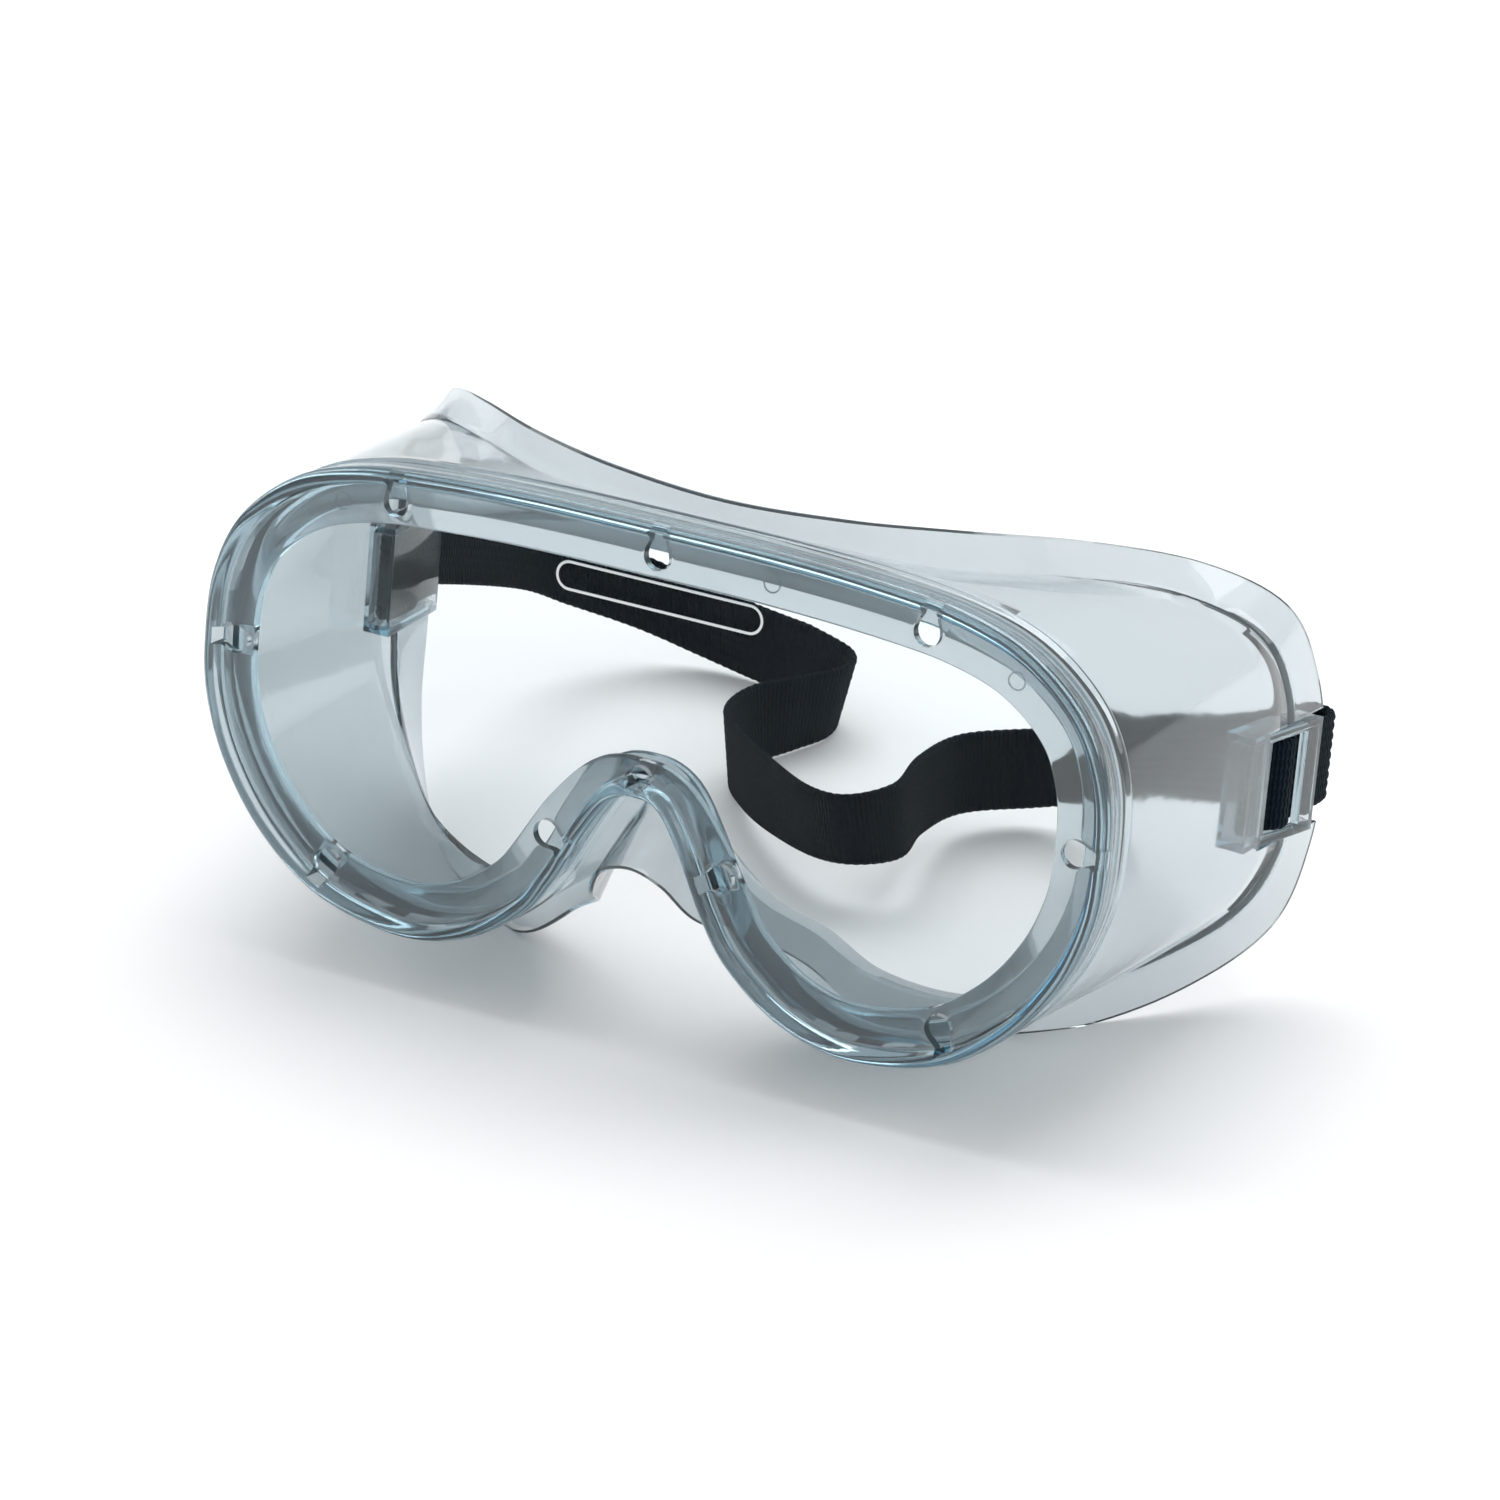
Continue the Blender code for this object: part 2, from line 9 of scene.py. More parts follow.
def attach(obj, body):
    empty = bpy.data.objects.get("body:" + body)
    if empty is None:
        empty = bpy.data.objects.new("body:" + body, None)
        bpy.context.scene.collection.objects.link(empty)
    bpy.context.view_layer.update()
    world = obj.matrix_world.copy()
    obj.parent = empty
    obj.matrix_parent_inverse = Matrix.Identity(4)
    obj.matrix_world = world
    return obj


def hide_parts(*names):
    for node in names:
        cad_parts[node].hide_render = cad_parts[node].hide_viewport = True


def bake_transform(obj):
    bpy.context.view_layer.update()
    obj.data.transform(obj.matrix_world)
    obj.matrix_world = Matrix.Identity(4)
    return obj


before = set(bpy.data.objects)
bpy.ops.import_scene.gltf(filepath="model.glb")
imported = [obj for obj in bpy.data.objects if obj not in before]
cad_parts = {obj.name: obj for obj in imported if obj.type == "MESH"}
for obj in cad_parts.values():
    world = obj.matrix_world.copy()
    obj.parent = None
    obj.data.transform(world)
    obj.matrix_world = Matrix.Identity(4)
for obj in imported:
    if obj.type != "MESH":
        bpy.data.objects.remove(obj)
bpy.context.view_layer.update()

# ---- camera -------------------------------------------------------------------------
# A long lens looks down on the goggles from the wearer's left front.
MM = 0.001
LEAN = math.radians(9.8)
LENS_ORIGIN = np.array((0.0, -52.1, 60.97))
CAMERA_AZIMUTH = math.radians(29.73)
CAMERA_ELEVATION = math.radians(26.63)
CAMERA_PLACE = Vector((0.4494, -0.8075, 0.4879))
camera_data = bpy.data.cameras.new("camera")
camera_data.lens = 156.0
camera_data.sensor_width = 36.0
camera_data.clip_start = 0.01
camera = bpy.data.objects.new("camera", camera_data)
bpy.context.scene.collection.objects.link(camera)
right = Vector((math.cos(CAMERA_AZIMUTH), math.sin(CAMERA_AZIMUTH), 0.0))
back = Vector((math.sin(CAMERA_AZIMUTH) * math.cos(CAMERA_ELEVATION),
               -math.cos(CAMERA_AZIMUTH) * math.cos(CAMERA_ELEVATION),
               math.sin(CAMERA_ELEVATION)))
turn = Matrix((right, back.cross(right), back)).transposed()
camera.matrix_world = Matrix.Translation(CAMERA_PLACE) @ turn.to_4x4()
bpy.context.scene.camera = camera

# ---- floor and light ----------------------------------------------------------------
# Plain white table under a large soft box, with two small boxes at its sides and a pale
# grey studio round it.


def node_material(name):
    """New node material, its tree and its main shader."""
    material = bpy.data.materials.new(name)
    material.use_nodes = True
    tree = material.node_tree
    shader = tree.nodes["Principled BSDF"]
    return material, tree, shader


def area_light(name, place, aim, size, power):
    """Square soft box of this size at place, aimed at a point."""
    data = bpy.data.lights.new(name, "AREA")
    data.shape = "RECTANGLE"
    data.size, data.size_y = size
    data.energy = power
    lamp = bpy.data.objects.new(name, data)
    lamp.location = place
    lamp.rotation_euler = (Vector(place) - Vector(aim)).to_track_quat("Z", "Y").to_euler()
    bpy.context.scene.collection.objects.link(lamp)


floor_mesh = bpy.data.meshes.new("floor")
FLOOR_REACH = 4.0
floor_mesh.from_pydata([(x * FLOOR_REACH, y * FLOOR_REACH, 0)
                        for x, y in ((-1, -1), (1, -1), (1, 1), (-1, 1))],
                       [], [(0, 1, 2, 3)])
floor = bpy.data.objects.new("floor", floor_mesh)
bpy.context.scene.collection.objects.link(floor)
floor_material, _, floor_shader = node_material("white_table")
floor_shader.inputs["Base Color"].default_value = (0.93, 0.93, 0.93, 1.0)
floor_shader.inputs["Roughness"].default_value = 0.9
floor_shader.inputs["Specular IOR Level"].default_value = 0.1
floor_mesh.materials.append(floor_material)

world = bpy.data.worlds.new("studio")
world.use_nodes = True
world.node_tree.nodes["Background"].inputs["Color"].default_value = (0.80, 0.82, 0.84, 1.0)
world.node_tree.nodes["Background"].inputs["Strength"].default_value = 0.72
bpy.context.scene.world = world
bpy.context.scene.view_settings.view_transform = "Standard"
BOUNCES = 24                    # light passes through many clear walls
bpy.context.scene.cycles.max_bounces = BOUNCES
bpy.context.scene.cycles.transmission_bounces = BOUNCES
bpy.context.scene.cycles.transparent_max_bounces = BOUNCES
area_light("top_box", (-0.15, 0.55, 1.3), (0.0, 0.0, 0.0), (1.6, 1.2), 17.0)
area_light("left_box", (-1.3, -0.1, 0.7), (0.0, 0.0, 0.04), (0.7, 0.9), 4.0)
area_light("right_box", (1.2, 0.5, 0.6), (0.0, 0.0, 0.04), (0.6, 0.8), 4.0)

# ---- facepiece ----------------------------------------------------------------------
# One soft clear vinyl moulding: a channel round the lens with a rounded bead, a skirt
# that reaches back round the eyes and over the nose, and a thin outturned flange.  It
# stands on the cheeks of the flange.  Lengths are in millimetres.
RIM_DEPTH = 8.0
RIM_WALL = 2.4
LIP_WIDTH = 9.0                 # front lip, from the rim's outside
LIP_WIDTH_NOSE = 6.2
GROOVE_FRONT = 1.9
GROOVE_REAR = 4.7
REAR_LIP = 6.0
SKIRT_WALL = 1.6                # skirt where it leaves the rim
SKIRT_THINNING = 0.4            # how much thinner it gets towards the crease
SKIRT_INSET = 0.6               # from the rim's outside to the skirt's
SKIRT_GAP = 0.3                 # between the rim's section and the skirt's first row
SKIRT_WAIST = 2.0               # how far the skirt bows outwards half way
CREASE_RIM = 1.15               # skirt just in front of the crease
CREASE_WALL = 1.1
CREASE_GROOVE = 0.6             # how much thinner the skirt is along an open crease
FOLD_REACH = 0.85               # half the thickness that a fold must leave room for
GROOVE_REACH = 0.5              # half the crease's width
SHARP_FOLD = 95.0               # degrees between the walls at which the groove begins
FOLD_RANGE = 40.0               # further degrees over which it grows to its full depth
FLANGE_THINNING = 0.3           # from the crease to the flange's edge
FLANGE_TIP = 0.25               # round edge beyond the last row
MITRE_LIMIT = 1.6               # greatest thickening at a fold
AROUND = 8                      # samples between two stations
# Rim outline (u, v), crease (u, v, w) and flange edge (u, v, w), in millimetres in the
# lens frame, from the brow's middle round to the nose's middle.
STATIONS = [
    ((0.0, 23.0), (0.0, 14.8, 25.0), (0.0, 22.0, 20.5)),
    ((20.0, 22.9), (20.0, 15.8, 25.8), (20.0, 22.8, 22.0)),
    ((37.0, 22.2), (36.0, 16.3, 29.0), (37.0, 23.7, 27.0)),
    ((52.0, 20.6), (52.0, 17.6, 35.5), (53.0, 23.3, 37.5)),
    ((64.0, 16.6), (65.0, 16.4, 43.5), (66.5, 20.2, 50.5)),
    ((73.5, 8.7), (75.4, 10.5, 52.5), (76.0, 12.8, 62.4)),
    ((78.0, -1.0), (79.5, 1.0, 56.5), (79.8, 1.0, 68.2)),
    ((79.0, -12.0), (80.4, -12.0, 58.0), (81.0, -12.0, 70.6)),
    ((78.0, -22.0), (80.2, -24.0, 57.7), (80.8, -26.0, 70.3)),
    ((73.8, -32.5), (76.3, -33.6, 53.3), (78.0, -39.5, 65.5)),
    ((66.0, -42.5), (67.3, -41.4, 45.4), (69.0, -49.0, 54.0)),
    ((55.0, -50.0), (56.4, -48.0, 37.9), (57.0, -54.9, 41.0)),
    ((40.0, -53.0), (43.0, -51.2, 32.5), (43.0, -57.2, 30.0)),
    ((28.0, -50.5), (30.0, -49.5, 29.0), (31.0, -56.6, 24.6)),
    ((18.3, -44.0), (21.5, -44.0, 26.0), (20.5, -49.0, 21.5)),
    ((13.0, -37.2), (14.4, -39.3, 21.0), (13.4, -44.2, 15.0)),
    ((8.1, -28.0), (8.6, -30.7, 15.5), (9.2, -39.2, 5.0)),
    ((4.0, -22.0), (4.4, -25.0, 13.0), (5.4, -33.8, 0.6)),
    ((0.0, -20.8), (0.0, -23.6, 12.4), (0.0, -32.0, 0.0)),
]
NOSE_STATIONS = 3.0             # stations over which the lip narrows to the nose


def place(u, v, w):
    """Lens-frame point in millimetres as a point of the row frame in metres."""
    y = w * math.cos(LEAN) + v * math.sin(LEAN)
    z = v * math.cos(LEAN) - w * math.sin(LEAN)
    return (LENS_ORIGIN + np.array((u, y, z))) * MM


def spline(points, samples, closed):
    """Catmull-Rom curve through points."""
    knots = np.array(points, dtype=float)
    count = len(knots)
    share = (np.arange(samples) / samples)[:, None]
    pieces = []
    for index in range(count if closed else count - 1):
        quad = [knots[(index + step) % count] if closed
                else knots[min(max(index + step, 0), count - 1)] for step in (-1, 0, 1, 2)]
        before, start, end, after = quad
        pieces.append(0.5 * (2 * start + (end - before) * share
                             + (2 * before - 5 * start + 4 * end - after) * share ** 2
                             + (3 * start - before - 3 * end + after) * share ** 3))
    if not closed:
        pieces.append(knots[-1:])
    return np.concatenate(pieces)


def closed_curve(column):
    """Closed curve through one column of the stations and its mirror image."""
    half = [np.array(row[column], dtype=float) for row in STATIONS]
    other = [point * np.array([-1.0] + [1.0] * (len(point) - 1)) for point in half[-2:0:-1]]
    return spline(half + other, AROUND, True)


outline = closed_curve(0)
crease = closed_curve(1)
edge = closed_curve(2)
ring_count = len(outline)
along = np.roll(outline, -1, axis=0) - np.roll(outline, 1, axis=0)
along /= np.linalg.norm(along, axis=1)[:, None]
inward = np.stack([along[:, 1], -along[:, 0]], axis=1)
nose_middle = (len(STATIONS) - 1) * AROUND
nose_share = np.clip(1 - np.abs(np.arange(ring_count) - nose_middle)
                     / (NOSE_STATIONS * AROUND), 0, 1)
nose_share = nose_share * nose_share * (3 - 2 * nose_share)
lip_width = LIP_WIDTH + (LIP_WIDTH_NOSE - LIP_WIDTH) * nose_share


def mesh_object(name, vertices, faces, material, smooth_angle=40.0):
    """Object at the origin from points in metres, with its faces turned outwards."""
    mesh = bpy.data.meshes.new(name)
    mesh.from_pydata([tuple(point) for point in vertices], [], faces)
    work = bmesh.new()
    work.from_mesh(mesh)
    bmesh.ops.recalc_face_normals(work, faces=work.faces)
    work.to_mesh(mesh)
    work.free()
    result = bpy.data.objects.new(name, mesh)
    bpy.context.scene.collection.objects.link(result)
    if material is not None:
        mesh.materials.append(material)
    smooth(result, smooth_angle)
    return result


def smooth(piece, angle):
    """Smooth shading, with edges sharper than the angle kept."""
    piece.data.shade_smooth()
    piece.data.set_sharp_from_angle(angle=math.radians(angle))


def grid_faces(rings, around, closed_rings):
    """Quads of rings that are each closed, and that may close on each other."""
    faces = []
    for ring in range(rings if closed_rings else rings - 1):
        for step in range(around):
            after = (step + 1) % around
            above = (ring + 1) % rings
            faces.append((ring * around + step, ring * around + after,
                          above * around + after, above * around + step))
    return faces


def settle(piece, cutters=()):
    """Replace a piece's mesh by what its modifiers make of it."""
    graph = bpy.context.evaluated_depsgraph_get()
    result = bpy.data.meshes.new_from_object(piece.evaluated_get(graph))
    piece.modifiers.clear()
    piece.data = result
    for cutter in cutters:
        bpy.data.objects.remove(cutter)


def carve(piece, cutters):
    """Cut pieces out of a piece."""
    for cutter in cutters:
        cut = piece.modifiers.new(cutter.name, "BOOLEAN")
        cut.operation = "DIFFERENCE"
        cut.solver = "EXACT"
        cut.use_self = True
        cut.object = cutter
    settle(piece, cutters)


def prism_faces(count):
    """Faces of a prism whose two ends have count corners each."""
    faces = [tuple(range(count)), tuple(range(2 * count - 1, count - 1, -1))]
    for step in range(count):
        after = (step + 1) % count
        faces.append((step, after, count + after, count + step))
    return faces


def prism(name, plan, v_low, v_high, side, material):
    """Solid with a plan outline of (w, u) points, between two heights in the lens frame."""
    vertices = [place(side * u, v, w) for v in (v_low, v_high) for w, u in plan]
    return mesh_object(name, vertices, prism_faces(len(plan)), material, 30.0)


def rim_profile():
    """Section of the channel, (offset inwards, w), from the skirt's inside to its outside.
    The offsets of LIP_POINTS count from the lip's inner edge."""
    return [
        (2.25, 8.1), (2.6, 7.3), (3.2, 6.75), (4.0, 6.5), (REAR_LIP - 0.4, 6.45),
        (REAR_LIP - 0.1, 6.3), (REAR_LIP, 6.0), (REAR_LIP, 5.1), (REAR_LIP - 0.15, 4.8),
        (REAR_LIP - 0.4, GROOVE_REAR), (RIM_WALL, GROOVE_REAR), (RIM_WALL, GROOVE_FRONT),
        (-0.25, GROOVE_FRONT), (0.0, GROOVE_FRONT - 0.15), (0.0, 0.85), (-0.12, 0.6),
        (-0.45, 0.45), (3.1, 0.30), (2.75, 0.25), (2.5, -0.05), (2.2, -0.42), (1.75, -0.7),
        (1.2, -0.8), (0.7, -0.66), (0.3, -0.3), (0.06, 0.25), (0.0, 0.9), (0.08, 1.6),
        (0.3, 2.2), (0.42, 2.9), (0.42, 5.6), (0.3, 6.2), (0.06, 6.7), (0.0, 7.2),
        (0.12, 7.7), (0.38, 8.0),
    ]


LIP_POINTS = range(12, 17)      # points of the profile that follow the lip's inner edge
WALL_STEPS = 8
FLANGE_STEPS = 5


def facepiece_vertices():
    """Closed section at each sample: channel, outside of the skirt, flange and inside."""
    start_offset = SKIRT_INSET + SKIRT_WALL / 2
    start = np.concatenate([outline + inward * start_offset,
                            np.full((ring_count, 1), RIM_DEPTH + SKIRT_GAP)], axis=1)
    rows = []
    thickness = []
    for step in range(WALL_STEPS):
        share = step / WALL_STEPS
        row = start + (crease - start) * share
        row[:, :2] -= inward * SKIRT_WAIST * share * (1 - share)
        rows.append(row)
        thickness.append(np.full(ring_count, SKIRT_WALL - SKIRT_THINNING * share))
    flange = edge - crease
    width = np.linalg.norm(flange, axis=1)[:, None]
    last_step = np.linalg.norm(rows[-1] - crease, axis=1)[:, None]
    forward = (rows[-1] - crease) / last_step
    fold = np.arccos(np.clip((forward * flange / width).sum(axis=1), -1, 1))[:, None]
    first = np.clip(FOLD_REACH / np.tan(fold / 2), GROOVE_REACH, 0.5 * width) / width
    rows.append(crease + forward * np.minimum(first * width, 0.5 * last_step))
    thickness.append(np.full(ring_count, CREASE_RIM))
    openness = np.clip((np.degrees(fold[:, 0]) - SHARP_FOLD) / FOLD_RANGE, 0.0, 1.0)
    rows.append(crease)
    thickness.append(CREASE_WALL - CREASE_GROOVE * openness)
    for step in range(FLANGE_STEPS):
        share = first + (1 - first) * step / (FLANGE_STEPS - 1)
        rows.append(crease + flange * share)
        thickness.append(np.full(ring_count, CREASE_WALL - FLANGE_THINNING * step
                                 / (FLANGE_STEPS - 1)))
    grid = np.array(rows)
    around = np.roll(grid, -1, axis=1) - np.roll(grid, 1, axis=1)
    segment = np.cross(grid[1:] - grid[:-1], around[1:] + around[:-1])
    segment /= np.linalg.norm(segment, axis=2)[:, :, None]
    before = np.concatenate([segment[:1], segment])
    after = np.concatenate([segment, segment[-1:]])
    normal = (before + after) / 2
    length = np.linalg.norm(normal, axis=2)[:, :, None]
    normal *= np.minimum(1 / length, MITRE_LIMIT) / length
    normal[0, :, :2] = -inward
    normal[0, :, 2] = 0.0
    half = np.array(thickness)[:, :, None] / 2
    outer = grid + normal * half
    inner = grid - normal * half
    tip = grid[-1] + (grid[-1] - grid[-2]) / np.linalg.norm(
        grid[-1] - grid[-2], axis=1)[:, None] * FLANGE_TIP
    rings = []
    for index in range(ring_count):
        ring = []
        for number, (offset, w) in enumerate(rim_profile()):
            if number in LIP_POINTS:
                offset += lip_width[index]
            offset = min(offset, lip_width[index])
            u, v = outline[index] + inward[index] * offset
            ring.append((u, v, w))
        ring += [tuple(point) for point in outer[:, index]]
        ring.append(tuple(tip[index]))
        ring += [tuple(point) for point in inner[::-1, index]]
        rings.append(ring)
    return rings


def clear_vinyl():
    """Soft clear vinyl: glossy, faintly blue, a little hazy, and deeper blue where thick."""
    material, tree, shader = node_material("clear_vinyl")
    nodes, links = tree.nodes, tree.links
    shader.inputs["Base Color"].default_value = (0.64, 0.675, 0.69, 1.0)
    shader.inputs["IOR"].default_value = 1.5
    shader.inputs["Transmission Weight"].default_value = 0.93
    place_in = nodes.new("ShaderNodeTexCoord")
    flow = nodes.new("ShaderNodeTexNoise")
    flow.inputs["Scale"].default_value = 60.0
    flow.inputs["Detail"].default_value = 3.0
    links.new(place_in.outputs["Object"], flow.inputs["Vector"])
    rough = nodes.new("ShaderNodeMapRange")
    rough.inputs["To Min"].default_value = 0.03
    rough.inputs["To Max"].default_value = 0.09
    links.new(flow.outputs["Fac"], rough.inputs["Value"])
    links.new(rough.outputs["Result"], shader.inputs["Roughness"])
    bump = nodes.new("ShaderNodeBump")
    bump.inputs["Strength"].default_value = 0.12
    bump.inputs["Distance"].default_value = 0.0006
    links.new(flow.outputs["Fac"], bump.inputs["Height"])
    links.new(bump.outputs["Normal"], shader.inputs["Normal"])
    tint = nodes.new("ShaderNodeVolumeAbsorption")
    tint.inputs["Color"].default_value = (0.40, 0.74, 0.86, 1.0)
    tint.inputs["Density"].default_value = 85.0
    output = nodes["Material Output"]
    links.new(tint.outputs["Volume"], output.inputs["Volume"])
    return material


vinyl = clear_vinyl()
rings = facepiece_vertices()
section = len(rings[0])
points = []
for ring in rings:
    for u, v, w in ring:
        spot = place(u, v, w)
        points.append((spot[0], spot[1], max(spot[2], 0.0)))
facepiece = mesh_object("facepiece", points, grid_faces(ring_count, section, True), vinyl)

NOTCH_WIDTH = 4.4
NOTCH_NECK = 2.8
NOTCH_START = 1.6               # from the rim's outside
NOTCH_END = 1.2                 # from the lip's inner edge
NOTCH_STATIONS = (0.0, 2.62, 7.0, 10.9, 15.55, 18.0)


def keyhole(length):
    """Keyhole outline from the bead to its round end, as (along, across) points."""
    radius = NOTCH_WIDTH / 2
    half = [(0.0, NOTCH_NECK / 2), (0.25 * length, NOTCH_NECK / 2),
            (0.5 * length, 0.47 * NOTCH_WIDTH)]
    for step in range(9):
        angle = math.pi / 2 - step * math.pi / 16
        half.append((length - radius + radius * math.cos(angle), radius * math.sin(angle)))
    return half + [(a, -b) for a, b in half[-2::-1]]


def notch_cutter(index):
    """Keyhole-shaped cutter through the front lip at one sample of the outline."""
    length = lip_width[index] - NOTCH_END - NOTCH_START
    first = outline[index] + inward[index] * NOTCH_START
    across = np.array((-inward[index][1], inward[index][0]))
    plan = keyhole(length)
    vertices = []
    for w in (-2.0, 3.0):
        for a, b in plan:
            u, v = first + inward[index] * a + across * b
            vertices.append(place(u, v, w))
    return mesh_object("notch_%d" % index, vertices, prism_faces(len(plan)), None)


notch_samples = set()
for station in NOTCH_STATIONS:
    sample = round(station * AROUND)
    notch_samples.update((sample, (ring_count - sample) % ring_count))
LOOP_V = -13.4                  # middle of the loops, which sit in cuts in the flange
LOOP_REAR = 66.0
LOOP_FRONT = 47.5
POST_FRONT = 51.0
LOOP_WALL = 1.4
STRAP_WIDTH = 14.6
STRAP_THICKNESS = 1.3
CLEARANCE = 0.3
STRAP_SLACK = 0.45              # each side of the strap in its channel
CHANNEL_HALF = STRAP_WIDTH / 2 + STRAP_SLACK
LOOP_HALF = CHANNEL_HALF + LOOP_WALL
CUT_GAP = 0.2
CUT_INSIDE = 60.0
CUT_OUTSIDE = 95.0
SIDES = ((1, "left"), (-1, "right"))
cutters = [notch_cutter(sample) for sample in sorted(notch_samples)]
for side, label in SIDES:
    plan = [(POST_FRONT, CUT_INSIDE), (POST_FRONT, CUT_OUTSIDE),
            (CUT_OUTSIDE, CUT_OUTSIDE), (CUT_OUTSIDE, CUT_INSIDE)]
    cutters.append(prism("flange_cut_" + label, plan, LOOP_V - LOOP_HALF - CUT_GAP,
                         LOOP_V + LOOP_HALF + CUT_GAP, side, None))
carve(facepiece, cutters)
smooth(facepiece, 38.0)
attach(facepiece, "facepiece")
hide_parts("facepiece_rim", "facepiece_skirt")

MARK_STATIONS = (1.0, -3.4, 15.2, 4.0)
MARK_RADIUS = 1.35
MARK_LINE = 0.13
MARK_INSET = 0.8                # past the middle of the lip
MARK_FRONT = 0.32


def mould_mark(sample):
    """Shallow ring left by an ejector pin on the front of the lip."""
    spot = outline[sample] + inward[sample] * (0.5 * lip_width[sample] + MARK_INSET)
    vertices = []
    for step in range(24):
        angle = step * math.pi / 12
        for turn in range(8):
            tilt = turn * math.pi / 4
            radius = MARK_RADIUS + MARK_LINE * math.cos(tilt)
            vertices.append(place(spot[0] + radius * math.cos(angle),
                                  spot[1] + radius * math.sin(angle),
                                  MARK_FRONT + MARK_LINE * math.sin(tilt)))
    return mesh_object("mould_mark_%d" % sample, vertices, grid_faces(24, 8, True), vinyl)


for station in MARK_STATIONS:
    mark = mould_mark(round(station * AROUND) % ring_count)
    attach(mark, "facepiece")

# ---- strap loops --------------------------------------------------------------------
# Clear vinyl boxes joined to the skirt in the flange's cuts.  The strap's end lies in a
# flat channel that is open at the back, and swells out through the window in the outer
# plate.
LANE_REAR = 79.5                # middle of the channel at the loop's rear, along u
SLANT = 0.162                   # how much it leans outwards towards the back
DEPTH_HALF = STRAP_THICKNESS + 1.5 * CLEARANCE
POCKET_WALL = 0.7
SKIN = 78.95                    # outside of the skirt in front of the post, along u
POST_STEP = 0.2
WINDOW_FRONT = 52.7
WINDOW_REAR = 62.2
WINDOW_INSET = 0.15
LOOP_EDGE = 0.35                # radius of the loops' edges


def lane(w, offset):
    """Place along u of something at w in a loop, this far outside the channel's middle."""
    return LANE_REAR + SLANT * (w - LOOP_REAR) + offset


def slanted(name, front, rear, inside, outside, half_height, side):
    """Slanted block in a loop, between two offsets."""
    plan = [(front, lane(front, inside)), (front, lane(front, outside)),
            (rear, lane(rear, outside)), (rear, lane(rear, inside))]
    return prism(name, plan, LOOP_V - half_height, LOOP_V + half_height, side, None)


def strap_loop(side, label):
    """Loop with its channel and window, and with rounded edges."""
    inside = -DEPTH_HALF - LOOP_WALL
    outside = DEPTH_HALF + LOOP_WALL
    pocket = inside + LOOP_WALL - POCKET_WALL
    plan = [
        (LOOP_FRONT, lane(LOOP_FRONT, pocket)),
        (LOOP_FRONT, min(SKIN, lane(LOOP_FRONT, outside))),
        (POST_FRONT + POST_STEP, SKIN),
        (POST_FRONT + POST_STEP, lane(POST_FRONT, outside)),
        (LOOP_REAR, lane(LOOP_REAR, outside)),
        (LOOP_REAR, lane(LOOP_REAR, inside)),
    ]
    loop = prism("strap_loop_visual_" + label, plan, LOOP_V - LOOP_HALF, LOOP_V + LOOP_HALF,
                 side, vinyl)
    carve(loop, [
        slanted("channel_" + label, LOOP_FRONT + POCKET_WALL, LOOP_REAR + 5.0, -DEPTH_HALF,
                DEPTH_HALF, CHANNEL_HALF, side),
        slanted("window_" + label, WINDOW_FRONT, WINDOW_REAR, 0.5 * DEPTH_HALF,
                DEPTH_HALF + 2 * LOOP_WALL, CHANNEL_HALF - WINDOW_INSET, side)])
    bevel = loop.modifiers.new("edges", "BEVEL")
    bevel.width = LOOP_EDGE * MM
    bevel.segments = 3
    bevel.limit_method = "ANGLE"
    bevel.angle_limit = math.radians(35.0)
    settle(loop)
    smooth(loop, 40.0)
    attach(loop, "facepiece")
    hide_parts("strap_loop_" + label)


for side, label in SIDES:
    strap_loop(side, label)

# ---- lens ---------------------------------------------------------------------------
# Flat clear polycarbonate plate, sprung into the channel, with a long empty panel
# outlined near its top edge.


def clear_lens():
    """Polished clear polycarbonate with faint wiping marks."""
    material, tree, shader = node_material("clear_lens")
    nodes, links = tree.nodes, tree.links
    shader.inputs["Base Color"].default_value = (0.79, 0.825, 0.84, 1.0)
    shader.inputs["IOR"].default_value = 1.14
    shader.inputs["Transmission Weight"].default_value = 1.0
    shader.inputs["Specular IOR Level"].default_value = 0.35
    place_in = nodes.new("ShaderNodeTexCoord")
    marks = nodes.new("ShaderNodeTexNoise")
    marks.inputs["Scale"].default_value = 25.0
    marks.inputs["Detail"].default_value = 4.0
    links.new(place_in.outputs["Object"], marks.inputs["Vector"])
    rough = nodes.new("ShaderNodeMapRange")
    rough.inputs["To Min"].default_value = 0.0
    rough.inputs["To Max"].default_value = 0.03
    links.new(marks.outputs["Fac"], rough.inputs["Value"])
    links.new(rough.outputs["Result"], shader.inputs["Roughness"])
    return material


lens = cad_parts["lens"]
lens.data.materials.clear()
lens.data.materials.append(clear_lens())

PANEL_HALF = 17.8
PANEL_V = 10.7
PANEL_HEIGHT = 4.3
LINE = 0.22
LINE_HEIGHT = 0.05
LENS_FRONT = 2.19


def panel_line():
    """Fine raised line round the panel, on the front of the lens."""
    radius = PANEL_HEIGHT / 2
    path = []
    for end in (1, -1):
        for step in range(17):
            angle = end * math.pi / 2 - step * math.pi / 16
            path.append((end * (PANEL_HALF - radius) + radius * math.cos(angle),
                         PANEL_V + radius * math.sin(angle)))
    path = np.array(path)
    tangent = np.roll(path, -1, axis=0) - np.roll(path, 1, axis=0)
    tangent /= np.linalg.norm(tangent, axis=1)[:, None]
    normal = np.stack([tangent[:, 1], -tangent[:, 0]], axis=1)
    vertices = []
    for point, side_way in zip(path, normal):
        for step in range(8):
            angle = step * math.pi / 4
            u, v = point + side_way * LINE * math.cos(angle)
            vertices.append(place(u, v, LENS_FRONT - LINE_HEIGHT
                                  - LINE_HEIGHT * math.sin(angle)))
    return mesh_object("lens_panel_line", vertices, grid_faces(len(path), 8, True), etched)


